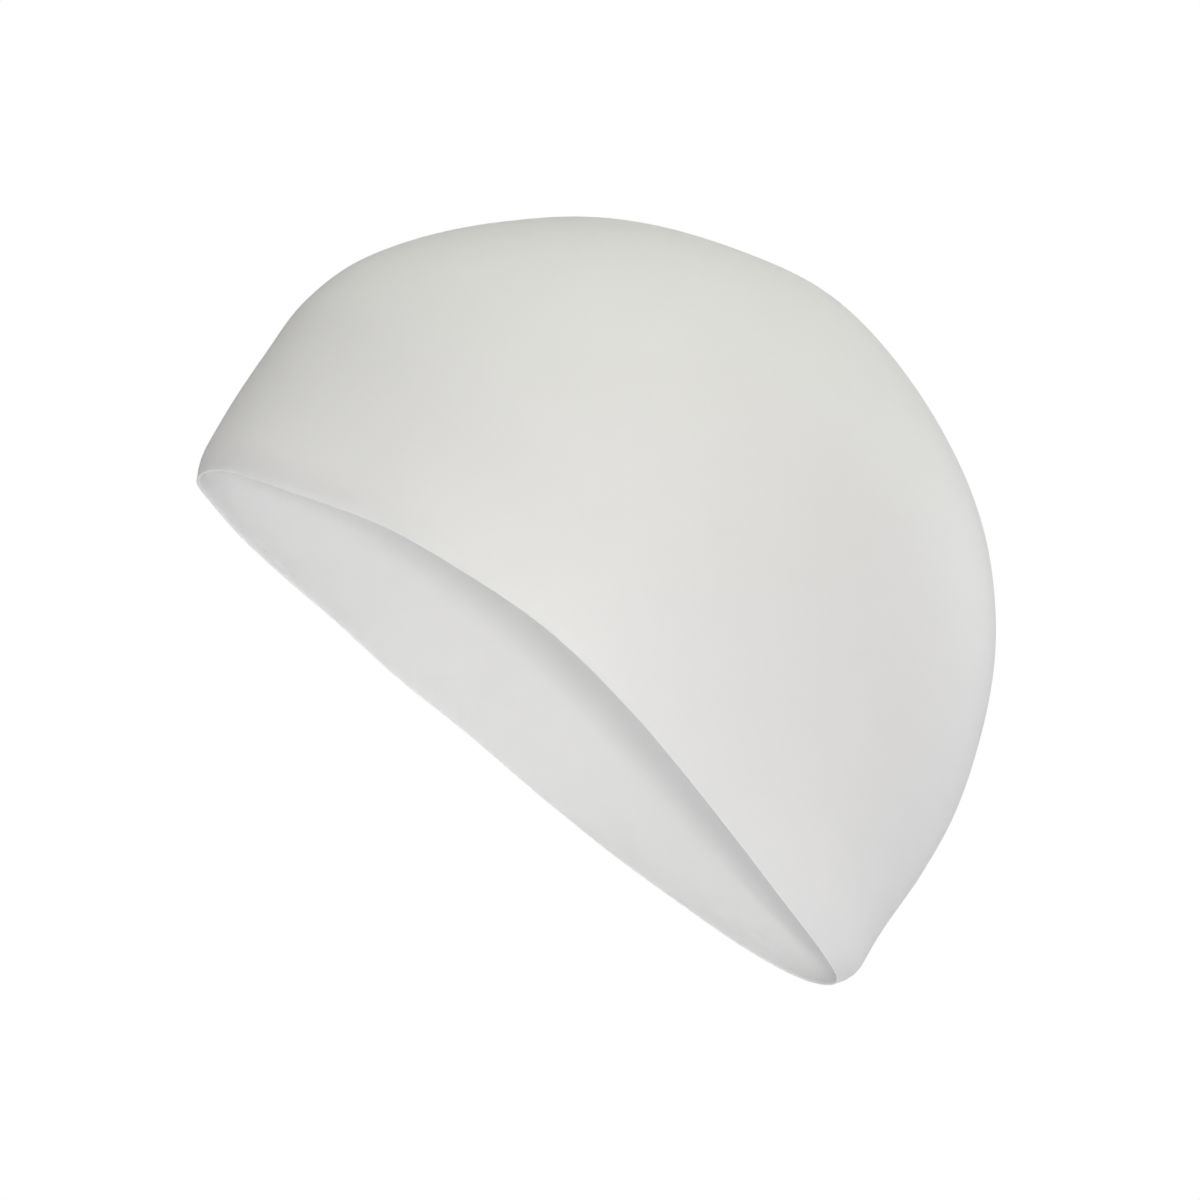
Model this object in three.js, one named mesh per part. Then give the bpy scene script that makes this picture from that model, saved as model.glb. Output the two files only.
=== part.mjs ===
// Swim cap: one thin skin of moulded silicone, in the form that it has when it fills out over a head.
// Millimetres, +Z up. The front is at -Y, the back at +Y, and the wearer's right is at -X.
// The origin is the inside of the crown's top, where the cap sits on the head.
import * as THREE from "three";

// Driving sizes
const WALL = 0.7; // thickness of the silicone
const CROWN_HEIGHT = 128; // from the ends of the rim up to the top of the crown, outside
const FRONT_REACH = 105.5; // from the line over the ears forward to the front end of the rim
const BACK_REACH = 88.5; // from the line over the ears to the back end of the rim
const HALF_BREADTH = 76; // from the middle out to the side of the rim
const CROWN_LEAD = 5; // how far the top of the crown stands ahead of the line over the ears
const SIDE_LIFT = 6.5; // how far the rim rises over the ear
const FRONT_TUCK = 3; // how far the edge turns in at the front end
const BACK_TUCK = 1.5; // how far the edge turns in at the back end
const TUCK_HEIGHT = 7; // height of the stretch that turns in

// Plain shares
const LIP_ROUND = 0.4; // how far the rounded edge stands below its two corners, as a share of the wall
const PINCH = 0.09; // how much the rim draws in between its ends and its sides, from an oval
const PINCH_FADE = 1.5; // power by which the pinch fades with height
const LEAD_POWER = 4; // power by which the crown's lead builds up with height

// How full the wall is by height. The degrees climb a quarter ellipse from the rim to the top, and each
// share multiplies the reach that the ellipse has there, at the back, the front and the sides.
const FULLNESS = [
  { degrees: 0, back: 1, front: 1, side: 1 },
  { degrees: 7, back: 1.04, front: 0.99, side: 1.03 },
  { degrees: 15, back: 1.09, front: 1.01, side: 1.07 },
  { degrees: 22, back: 1.145, front: 1.03, side: 1.09 },
  { degrees: 30, back: 1.175, front: 1.045, side: 1.11 },
  { degrees: 45, back: 1.15, front: 1.075, side: 1.15 },
  { degrees: 60, back: 1.105, front: 1.07, side: 1.15 },
  { degrees: 75, back: 0.835, front: 0.955, side: 1.17 },
  { degrees: 90, back: 0.87, front: 0.745, side: 1.15 },
];

// How far the rim has risen, as a share of the side lift, by the angle round from the front
const RIM_RISE = [
  { degrees: 0, share: 0 },
  { degrees: 15, share: -0.08 },
  { degrees: 30, share: -0.02 },
  { degrees: 45, share: 0.2 },
  { degrees: 60, share: 0.46 },
  { degrees: 75, share: 0.8 },
  { degrees: 90, share: 1.08 },
  { degrees: 105, share: 0.98 },
  { degrees: 120, share: 0.88 },
  { degrees: 135, share: 0.6 },
  { degrees: 150, share: 0.36 },
  { degrees: 165, share: 0.22 },
  { degrees: 180, share: 0 },
];

// Mesh fineness
const STEPS_AROUND = 64;
const TUCK_ROWS = 3; // rows of facets in the stretch that turns in
const WALL_ROWS = 21; // rows of facets from there to the top
const NUDGE = 1e-4; // radians between two points that give a slope of the surface

const TOP = Math.PI / 2; // climb at the top of the crown

// Slope of a table's column at one row, from the rows on both sides of it. The last row lies flat, because
// the cap carries on alike behind it, and so does the first where startsFlat says so.
function slopeAt(table, column, row, startsFlat) {
  if (row === table.length - 1 || (row === 0 && startsFlat)) return 0;
  const before = table[Math.max(row - 1, 0)];
  const after = table[row + 1];
  return (after[column] - before[column]) / (after.degrees - before.degrees);
}

// Value of a column at an angle, on a smooth cubic through the rows
function readTable(table, column, angle, startsFlat = false) {
  const at = THREE.MathUtils.clamp(THREE.MathUtils.radToDeg(angle), 0, table.at(-1).degrees);
  let row = 0;
  while (row < table.length - 2 && at > table[row + 1].degrees) row += 1;
  const low = table[row];
  const high = table[row + 1];
  const span = high.degrees - low.degrees;
  const t = (at - low.degrees) / span;
  const lowSlope = slopeAt(table, column, row, startsFlat) * span;
  const highSlope = slopeAt(table, column, row + 1, startsFlat) * span;
  return (
    low[column] * (2 * t ** 3 - 3 * t ** 2 + 1) +
    lowSlope * (t ** 3 - 2 * t ** 2 + t) +
    high[column] * (3 * t ** 2 - 2 * t ** 3) +
    highSlope * (t ** 3 - t ** 2)
  );
}

// Height of the rim's outer corner at an angle round from the front
function rimHeight(turn) {
  const fromFront = Math.acos(Math.cos(turn));
  const rise = SIDE_LIFT * readTable(RIM_RISE, "share", fromFront, true);
  return WALL - CROWN_HEIGHT + LIP_ROUND * WALL + rise;
}

// Point on the outside: turn goes round from the front, climb goes up from the rim to the top
function outerPoint(turn, climb) {
  const ahead = Math.cos(turn);
  const aside = Math.sin(turn);
  const frontShare = (1 + ahead) / 2;
  const backFull = BACK_REACH * readTable(FULLNESS, "back", climb);
  const frontFull = FRONT_REACH * readTable(FULLNESS, "front", climb);
  const reach = THREE.MathUtils.lerp(backFull, frontFull, frontShare);
  const breadth = HALF_BREADTH * readTable(FULLNESS, "side", climb);
  const pinch = PINCH * (1 - Math.sin(climb)) ** PINCH_FADE;
  const plan = Math.cos(climb) * (1 - pinch * (2 * ahead * aside) ** 2);

  const rim = rimHeight(turn);
  const height = rim + (WALL - rim) * Math.sin(climb);
  const untucked = Math.min((height - rim) / TUCK_HEIGHT, 1);
  const endTuck = THREE.MathUtils.lerp(BACK_TUCK, FRONT_TUCK, frontShare) * ahead ** 2;
  const tuck = endTuck * (1 - untucked) ** 2;
  const behindCrown = CROWN_LEAD * (1 - Math.sin(climb) ** LEAD_POWER);
  return new THREE.Vector3(
    aside * (plan * breadth - tuck),
    behindCrown - ahead * (plan * reach - tuck),
    height,
  );
}

// Point on the inside: one wall in from the outside, square to it
function innerPoint(turn, climb) {
  const outer = outerPoint(turn, climb);
  const along = outerPoint(turn + NUDGE, climb).sub(outerPoint(turn - NUDGE, climb));
  const up = outerPoint(turn, climb + NUDGE).sub(outer);
  const outward = along.cross(up).normalize();
  return outer.addScaledVector(outward, -WALL);
}

// Climb of each row of points below the top, close together where the edge turns in
function rowClimbs() {
  const tuckTop = Math.asin(TUCK_HEIGHT / CROWN_HEIGHT);
  const climbs = [];
  for (let row = 0; row < TUCK_ROWS; row += 1) climbs.push((tuckTop * row) / TUCK_ROWS);
  for (let row = 0; row < WALL_ROWS; row += 1) {
    climbs.push(tuckTop + ((TOP - tuckTop) * row) / WALL_ROWS);
  }
  return climbs;
}

// Closed skin: down the inside from the top, round the edge and up the outside
function shellGeometry() {
  const climbs = rowClimbs();
  const rings = [];
  const addRing = (pointAt) => {
    const ring = [];
    for (let step = 0; step < STEPS_AROUND; step += 1) {
      ring.push(pointAt((2 * Math.PI * step) / STEPS_AROUND));
    }
    rings.push(ring);
  };
  for (const climb of climbs.toReversed()) addRing((turn) => innerPoint(turn, climb));
  addRing((turn) => {
    const edge = outerPoint(turn, 0).lerp(innerPoint(turn, 0), 0.5);
    return edge.setZ(edge.z - LIP_ROUND * WALL);
  });
  for (const climb of climbs) addRing((turn) => outerPoint(turn, climb));

  const points = rings.flat();
  const innerTop = points.push(new THREE.Vector3(0, 0, 0)) - 1;
  const outerTop = points.push(new THREE.Vector3(0, 0, WALL)) - 1;
  const lastRing = (rings.length - 1) * STEPS_AROUND;
  const faces = [];
  for (let step = 0; step < STEPS_AROUND; step += 1) {
    const next = (step + 1) % STEPS_AROUND;
    faces.push(innerTop, next, step);
    for (let low = 0; low < lastRing; low += STEPS_AROUND) {
      const high = low + STEPS_AROUND;
      faces.push(low + step, low + next, high + step);
      faces.push(low + next, high + next, high + step);
    }
    faces.push(lastRing + step, lastRing + next, outerTop);
  }

  const geometry = new THREE.BufferGeometry().setFromPoints(points);
  geometry.setIndex(faces);
  geometry.computeVertexNormals();
  return geometry;
}

const silicone = new THREE.MeshStandardMaterial({ color: "#dedfda", roughness: 0.55, metalness: 0 });

const capShell = new THREE.Mesh(shellGeometry(), silicone);
capShell.name = "cap_shell";

const cap = new THREE.Group();
cap.add(capShell);

export default cap;
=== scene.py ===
"""Looks of a swim cap: one thin skin of satin silicone, filled out as over a head and seen from below.

Metres, +Z up. The front is at -Y, the back at +Y, and the wearer's right, which the camera sees, is at -X.
"""

import math
from collections import namedtuple

import bpy
import numpy as np
from mathutils import Matrix, Vector


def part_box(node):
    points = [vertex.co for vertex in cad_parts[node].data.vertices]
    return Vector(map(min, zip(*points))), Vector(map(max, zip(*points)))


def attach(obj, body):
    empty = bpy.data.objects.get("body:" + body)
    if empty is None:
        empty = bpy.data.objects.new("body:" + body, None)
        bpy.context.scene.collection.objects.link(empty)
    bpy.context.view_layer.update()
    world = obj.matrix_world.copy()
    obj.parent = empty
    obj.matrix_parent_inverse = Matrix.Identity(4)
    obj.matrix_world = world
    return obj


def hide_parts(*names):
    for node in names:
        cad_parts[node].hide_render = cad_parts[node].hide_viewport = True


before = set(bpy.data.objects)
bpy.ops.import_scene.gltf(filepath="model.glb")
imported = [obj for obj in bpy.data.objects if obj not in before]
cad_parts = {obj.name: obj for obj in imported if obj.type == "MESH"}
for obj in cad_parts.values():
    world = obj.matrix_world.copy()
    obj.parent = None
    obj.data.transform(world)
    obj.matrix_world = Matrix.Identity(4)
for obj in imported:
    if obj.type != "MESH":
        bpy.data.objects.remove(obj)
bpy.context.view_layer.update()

# How full the wall is by height. The degrees climb a quarter ellipse from the rim to the top, and each
# share multiplies the reach that the ellipse has there, at the back, the front and the sides.
FULLNESS = {
    "degrees": (0, 7, 15, 22, 30, 45, 60, 75, 90),
    "back": (1, 1.04, 1.09, 1.145, 1.175, 1.15, 1.105, 0.835, 0.87),
    "front": (1, 0.99, 1.01, 1.03, 1.045, 1.075, 1.07, 0.955, 0.745),
    "side": (1, 1.03, 1.07, 1.09, 1.11, 1.15, 1.15, 1.17, 1.15),
}
# How far the rim has risen, as a share of the side lift, by the angle round from the front
RIM_RISE = {
    "degrees": (0, 15, 30, 45, 60, 75, 90, 105, 120, 135, 150, 165, 180),
    "share": (0, -0.08, -0.02, 0.2, 0.46, 0.8, 1.08, 0.98, 0.88, 0.6, 0.36, 0.22, 0),
}
SIDE_LIFT = 0.0508  # how far the rim rises over the ear, as a share of the crown's height
LOWEST_DIP = 0.0024  # how far the rim's lowest stretches lie below the crown's height, as a share of it
CROWN_LEAD = 0.0391  # how far the crown's top stands ahead of the ears, as a share of the crown's height
LEAD_POWER = 4  # power by which that lead builds up with height
FRONT_TUCK = 0.0284  # how far the edge turns in at the front end, as a share of the front reach
BACK_TUCK = 0.0169  # how far the edge turns in at the back end, as a share of the back reach
TUCK_HEIGHT = 0.0547  # height of the stretch that turns in, as a share of the crown's height
LIP_ROUND = 0.4  # how far the rounded edge stands below its two corners, as a share of the wall
PINCH = 0.09  # how much the rim draws in between its ends and its sides, from an oval
PINCH_FADE = 1.5  # power by which the pinch fades with height

# Mesh fineness
STEPS_AROUND = 256
WALL_ROWS = 96  # rows of facets from the rim to the top, on each side of the wall
LIP_ROWS = 8  # rows of facets round the edge
NUDGE = 1e-4  # radians between two points that give a slope of the surface
WIDEST_BELOW = 60  # degrees of climb below which the wall stands at its widest
CLIMBS_TRIED = 481  # climbs up to there at which the widest one is looked for

# Noises on the silicone, with their grains to the metre and how many finer layers they add
Noise = namedtuple("Noise", "grains layers")
CLOUDS = Noise(16, 2)
MOTTLE = Noise(500, 3)
WAVES = Noise(30, 1)
SKIN = Noise(2500, 2)
NOISE_LOW = 0.3  # nearly all of a noise lies between these two
NOISE_HIGH = 0.7

# Silicone, with depths in metres
DARKER_TONE = (0.79, 0.79, 0.785, 1)
LIGHTER_TONE = (0.81, 0.81, 0.805, 1)
SATIN_ROUGHNESS = (0.5, 0.6)
WAVE_DEPTH = 0.00015
SKIN_DEPTH = 0.000012
REFRACTION = 1.41
LIGHT_REACH = 0.0025  # how deep light spreads in the skin
REACH_BY_COLOUR = (1, 1, 1)  # red, green and blue spread alike

# Camera
VIEW_DISTANCE = 1.0
VIEW_BELOW = math.radians(13.29)  # how steeply the camera looks up
VIEW_ROLL = math.radians(38.344)  # how far the picture is turned about the view
VIEW_AIM = Vector((0, 0.0009, -0.0899))  # point in the middle of the picture
VIEW_LENS = 127.8  # millimetres
SENSOR_WIDTH = 36  # millimetres

# Lamps by their direction from the middle of the picture: round from the camera's side towards the
# front of the cap, and up from level. Distances and radii are in metres. Gleams says whether a lamp
# shows in the gloss of the skin.
Lamp = namedtuple("Lamp", "name azimuth rise distance radius watts tint gleams")
LAMPS = (
    Lamp("key", 4, -11.5, 1.0, 0.03, 3.3, (1, 0.975, 0.965), True),
    Lamp("behind", 180, -6, 1.2, 0.45, 9.1, (0.98, 1, 0.995), False),
    Lamp("over", 0, 45, 1.5, 0.45, 5.1, (0.98, 1, 0.92), True),
    Lamp("back", -60, 45, 1.5, 0.45, 4.5, (0.95, 1, 0.8), True),
    Lamp("brow", 120, 45, 1.5, 0.45, 5.7, (0.94, 0.97, 1), True),
    Lamp("low", 90, -30, 1.2, 0.4, 4.1, (0.94, 0.96, 1), False),
)
EVEN_LIGHT = 0.3  # strength of the light from all round
EVEN_TINT = (1, 0.965, 0.98, 1)
WHITE = (1, 1, 1, 1)

# Floor, in metres
FLOOR_DROP = 1.2  # from the top of the cap down to the floor
FLOOR_SIDE = 12.0
FLOOR_COLOUR = (0.85, 0.85, 0.85, 1)
FLOOR_ROUGHNESS = 0.9
FLOOR_LIFT = 0.7  # glow that the floor shows to the camera alone, on top of the light on it


def read_table(table, column, degrees, starts_flat=False):
    """A table's column at some angles, on a smooth cubic through its rows. The last row lies flat"""
    rows = np.array(table["degrees"], float)
    values = np.array(table[column], float)
    slopes = np.zeros(len(rows))
    slopes[1:-1] = (values[2:] - values[:-2]) / (rows[2:] - rows[:-2])
    if not starts_flat:
        slopes[0] = (values[1] - values[0]) / (rows[1] - rows[0])
    row = np.clip(np.searchsorted(rows, degrees, side="right") - 1, 0, len(rows) - 2)
    span = rows[row + 1] - rows[row]
    t = (degrees - rows[row]) / span
    return (
        values[row] * (2 * t**3 - 3 * t**2 + 1)
        + slopes[row] * span * (t**3 - 2 * t**2 + t)
        + values[row + 1] * (3 * t**2 - 2 * t**3)
        + slopes[row + 1] * span * (t**3 - t**2)
    )


def rim_reach(widest, column, tuck, lead):
    """How far the rim reaches in one direction, from where the wall stands at its widest. The lead is how
    far the line over the ears stands in that direction from the crown's top"""
    degrees = np.linspace(0, WIDEST_BELOW, CLIMBS_TRIED)
    climb = np.radians(degrees)
    untucked = np.minimum(np.sin(climb) / TUCK_HEIGHT, 1)
    share = np.cos(climb) * read_table(FULLNESS, column, degrees) - tuck * (1 - untucked) ** 2
    return ((widest - lead * (1 - np.sin(climb) ** LEAD_POWER)) / share).min()


def driving_sizes():
    """The cap's sizes, from the box of the solid that it replaces"""
    low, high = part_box("cap_shell")
    height = (high.z - low.z) / (1 + LOWEST_DIP)
    lead = height * CROWN_LEAD
    return {
        "wall": high.z,
        "height": height,
        "lead": lead,
        "back": rim_reach(high.y, "back", BACK_TUCK, lead),
        "front": rim_reach(-low.y, "front", FRONT_TUCK, -lead),
        "side": rim_reach(high.x, "side", 0, 0),
        "side_lift": height * SIDE_LIFT,
        "tuck_height": height * TUCK_HEIGHT,
    }


def outer_points(size, turn, climb):
    """Points on the outside: turn goes round from the front, climb goes up from the rim to the top"""
    ahead = np.cos(turn)
    aside = np.sin(turn)
    front_share = (1 + ahead) / 2
    degrees = np.degrees(climb)
    back_full = size["back"] * read_table(FULLNESS, "back", degrees)
    front_full = size["front"] * read_table(FULLNESS, "front", degrees)
    reach = back_full + (front_full - back_full) * front_share
    breadth = size["side"] * read_table(FULLNESS, "side", degrees)
    pinch = PINCH * (1 - np.sin(climb)) ** PINCH_FADE
    plan = np.cos(climb) * (1 - pinch * (2 * ahead * aside) ** 2)

    from_front = np.degrees(np.arccos(np.clip(ahead, -1, 1)))
    rise = size["side_lift"] * read_table(RIM_RISE, "share", from_front, starts_flat=True)
    rim = size["wall"] * (1 + LIP_ROUND) - size["height"] + rise
    height = rim + (size["wall"] - rim) * np.sin(climb)
    untucked = np.minimum((height - rim) / size["tuck_height"], 1)
    back_tuck = BACK_TUCK * size["back"]
    front_tuck = FRONT_TUCK * size["front"]
    end_tuck = (back_tuck + (front_tuck - back_tuck) * front_share) * ahead**2
    tuck = end_tuck * (1 - untucked) ** 2
    behind_crown = size["lead"] * (1 - np.sin(climb) ** LEAD_POWER)
    across = aside * (plan * breadth - tuck)
    along = behind_crown - ahead * (plan * reach - tuck)
    return np.stack([across, along, height], axis=-1)


def inner_points(size, turn, climb):
    """Points on the inside: one wall in from the outside, square to it"""
    outer = outer_points(size, turn, climb)
    along = outer_points(size, turn + NUDGE, climb) - outer_points(size, turn - NUDGE, climb)
    up = outer_points(size, turn, climb + NUDGE) - outer
    outward = np.cross(along, up)
    outward /= np.linalg.norm(outward, axis=-1, keepdims=True)
    return outer - size["wall"] * outward


def cap_piece():
    """The cap as one closed skin: down the inside from the top, round the edge and up the outside"""
    size = driving_sizes()
    turns = np.linspace(0, 2 * math.pi, STEPS_AROUND, endpoint=False)
    climbs = np.linspace(0, math.pi / 2, WALL_ROWS, endpoint=False)
    turn, climb = np.meshgrid(turns, climbs)
    outside = outer_points(size, turn, climb)
    inside = inner_points(size, turn, climb)

    middle = (outside[0] + inside[0]) / 2
    half = (outside[0] - inside[0]) / 2
    down = np.array((0, 0, -LIP_ROUND * size["wall"]))
    lip = [
        middle - half * math.cos(angle) + down * math.sin(angle)
        for angle in np.linspace(0, math.pi, LIP_ROWS + 1)[1:-1]
    ]
    rings = np.concatenate([inside[::-1], lip, outside])
    points = rings.reshape(-1, 3).tolist()
    inner_top = len(points)
    outer_top = inner_top + 1
    points += [(0, 0, 0), (0, 0, size["wall"])]

    last = (len(rings) - 1) * STEPS_AROUND
    faces = []
    for step in range(STEPS_AROUND):
        after = (step + 1) % STEPS_AROUND
        faces.append((inner_top, after, step))
        for low in range(0, last, STEPS_AROUND):
            high = low + STEPS_AROUND
            faces.append((low + step, low + after, high + after, high + step))
        faces.append((last + step, last + after, outer_top))

    mesh = bpy.data.meshes.new("cap")
    mesh.from_pydata(points, [], faces)
    mesh.shade_smooth()
    cap = bpy.data.objects.new("cap", mesh)
    bpy.context.scene.collection.objects.link(cap)
    mesh.materials.append(silicone())
    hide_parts("cap_shell")
    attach(cap, "root")


def noise(nodes, links, place, kind):
    """Smooth noise in the cap's own metres"""
    texture = nodes.new("ShaderNodeTexNoise")
    texture.inputs["Scale"].default_value = kind.grains
    texture.inputs["Detail"].default_value = kind.layers
    links.new(place, texture.inputs["Vector"])
    return texture.outputs["Fac"]


def between(nodes, links, share, low, high):
    """A value that follows a noise from low to high"""
    span = nodes.new("ShaderNodeMapRange")
    span.inputs["From Min"].default_value = NOISE_LOW
    span.inputs["From Max"].default_value = NOISE_HIGH
    span.inputs["To Min"].default_value = low
    span.inputs["To Max"].default_value = high
    links.new(share, span.inputs["Value"])
    return span.outputs["Result"]


def raised(nodes, links, height, depth, under=None):
    """Bump of a real depth, on top of another one"""
    bump = nodes.new("ShaderNodeBump")
    bump.inputs["Strength"].default_value = 1
    bump.inputs["Distance"].default_value = depth
    links.new(height, bump.inputs["Height"])
    if under:
        links.new(under, bump.inputs["Normal"])
    return bump.outputs["Normal"]


def silicone():
    """Off-white satin silicone that lets a little light through"""
    material = bpy.data.materials.new("satin_silicone")
    material.use_nodes = True
    nodes = material.node_tree.nodes
    links = material.node_tree.links
    shader = nodes["Principled BSDF"]
    place = nodes.new("ShaderNodeTexCoord").outputs["Object"]

    cloudy = noise(nodes, links, place, CLOUDS)
    tones = nodes.new("ShaderNodeMix")
    tones.data_type = "RGBA"
    tones.inputs["A"].default_value = DARKER_TONE
    tones.inputs["B"].default_value = LIGHTER_TONE
    links.new(between(nodes, links, cloudy, 0, 1), tones.inputs["Factor"])
    links.new(tones.outputs["Result"], shader.inputs["Base Color"])

    mottle = noise(nodes, links, place, MOTTLE)
    links.new(between(nodes, links, mottle, *SATIN_ROUGHNESS), shader.inputs["Roughness"])

    waves = raised(nodes, links, noise(nodes, links, place, WAVES), WAVE_DEPTH)
    skin = raised(nodes, links, noise(nodes, links, place, SKIN), SKIN_DEPTH, waves)
    links.new(skin, shader.inputs["Normal"])

    shader.inputs["IOR"].default_value = REFRACTION
    shader.inputs["Subsurface Weight"].default_value = 1
    shader.inputs["Subsurface Radius"].default_value = REACH_BY_COLOUR
    shader.inputs["Subsurface Scale"].default_value = LIGHT_REACH
    return material


def plain_floor():
    """Plain pale floor, far enough down to stay out of the picture"""
    _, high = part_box("cap_shell")
    height = high.z - FLOOR_DROP
    half = FLOOR_SIDE / 2
    corners = ((-half, -half), (half, -half), (half, half), (-half, half))
    mesh = bpy.data.meshes.new("floor")
    mesh.from_pydata([(x, y, height) for x, y in corners], [], [(0, 1, 2, 3)])
    floor = bpy.data.objects.new("floor", mesh)
    bpy.context.scene.collection.objects.link(floor)

    material = bpy.data.materials.new("floor")
    material.use_nodes = True
    nodes = material.node_tree.nodes
    links = material.node_tree.links
    shader = nodes["Principled BSDF"]
    shader.inputs["Base Color"].default_value = FLOOR_COLOUR
    shader.inputs["Roughness"].default_value = FLOOR_ROUGHNESS
    shader.inputs["Emission Color"].default_value = WHITE
    path = nodes.new("ShaderNodeLightPath")
    lift = nodes.new("ShaderNodeMath")
    lift.operation = "MULTIPLY"
    lift.inputs[1].default_value = FLOOR_LIFT
    links.new(path.outputs["Is Camera Ray"], lift.inputs[0])
    links.new(lift.outputs["Value"], shader.inputs["Emission Strength"])
    mesh.materials.append(material)


def camera():
    """Camera under the wearer's right side, looking up and rolled so that the front of the cap points
    down to the right"""
    forward = Vector((math.cos(VIEW_BELOW), 0, math.sin(VIEW_BELOW)))
    level_right = Vector((0, -1, 0))
    level_up = Vector((-math.sin(VIEW_BELOW), 0, math.cos(VIEW_BELOW)))
    right = math.cos(VIEW_ROLL) * level_right + math.sin(VIEW_ROLL) * level_up
    up = -math.sin(VIEW_ROLL) * level_right + math.cos(VIEW_ROLL) * level_up
    lens = bpy.data.cameras.new("camera")
    lens.lens = VIEW_LENS
    lens.sensor_width = SENSOR_WIDTH
    view = bpy.data.objects.new("camera", lens)
    turned = Matrix((right, up, -forward)).transposed().to_4x4()
    view.matrix_world = Matrix.Translation(VIEW_AIM - forward * VIEW_DISTANCE) @ turned
    bpy.context.scene.collection.objects.link(view)
    bpy.context.scene.camera = view


def world_light():
    """White to the camera, and a dimmer even light on the object"""
    world = bpy.data.worlds.new("studio")
    bpy.context.scene.world = world
    world.use_nodes = True
    nodes = world.node_tree.nodes
    links = world.node_tree.links
    even = nodes["Background"]
    even.inputs["Color"].default_value = EVEN_TINT
    even.inputs["Strength"].default_value = EVEN_LIGHT
    seen = nodes.new("ShaderNodeBackground")
    seen.inputs["Color"].default_value = WHITE
    path = nodes.new("ShaderNodeLightPath")
    pick = nodes.new("ShaderNodeMixShader")
    links.new(path.outputs["Is Camera Ray"], pick.inputs[0])
    links.new(even.outputs[0], pick.inputs[1])
    links.new(seen.outputs[0], pick.inputs[2])
    links.new(pick.outputs[0], nodes["World Output"].inputs["Surface"])


def lamps():
    """Soft round lamps that all face the cap"""
    for row in LAMPS:
        azimuth = math.radians(row.azimuth)
        rise = math.radians(row.rise)
        level = -math.cos(rise)
        outwards = Vector((level * math.cos(azimuth), level * math.sin(azimuth), math.sin(rise)))
        light = bpy.data.lights.new(row.name, "AREA")
        light.shape = "DISK"
        light.size = 2 * row.radius
        light.energy = row.watts
        light.color = row.tint
        lamp = bpy.data.objects.new(row.name, light)
        lamp.location = VIEW_AIM + outwards * row.distance
        lamp.rotation_euler = outwards.to_track_quat("Z", "Y").to_euler()
        lamp.visible_camera = False
        lamp.visible_glossy = row.gleams
        bpy.context.scene.collection.objects.link(lamp)


camera()
cap_piece()
plain_floor()
world_light()
lamps()
bpy.context.scene.view_settings.view_transform = "Standard"
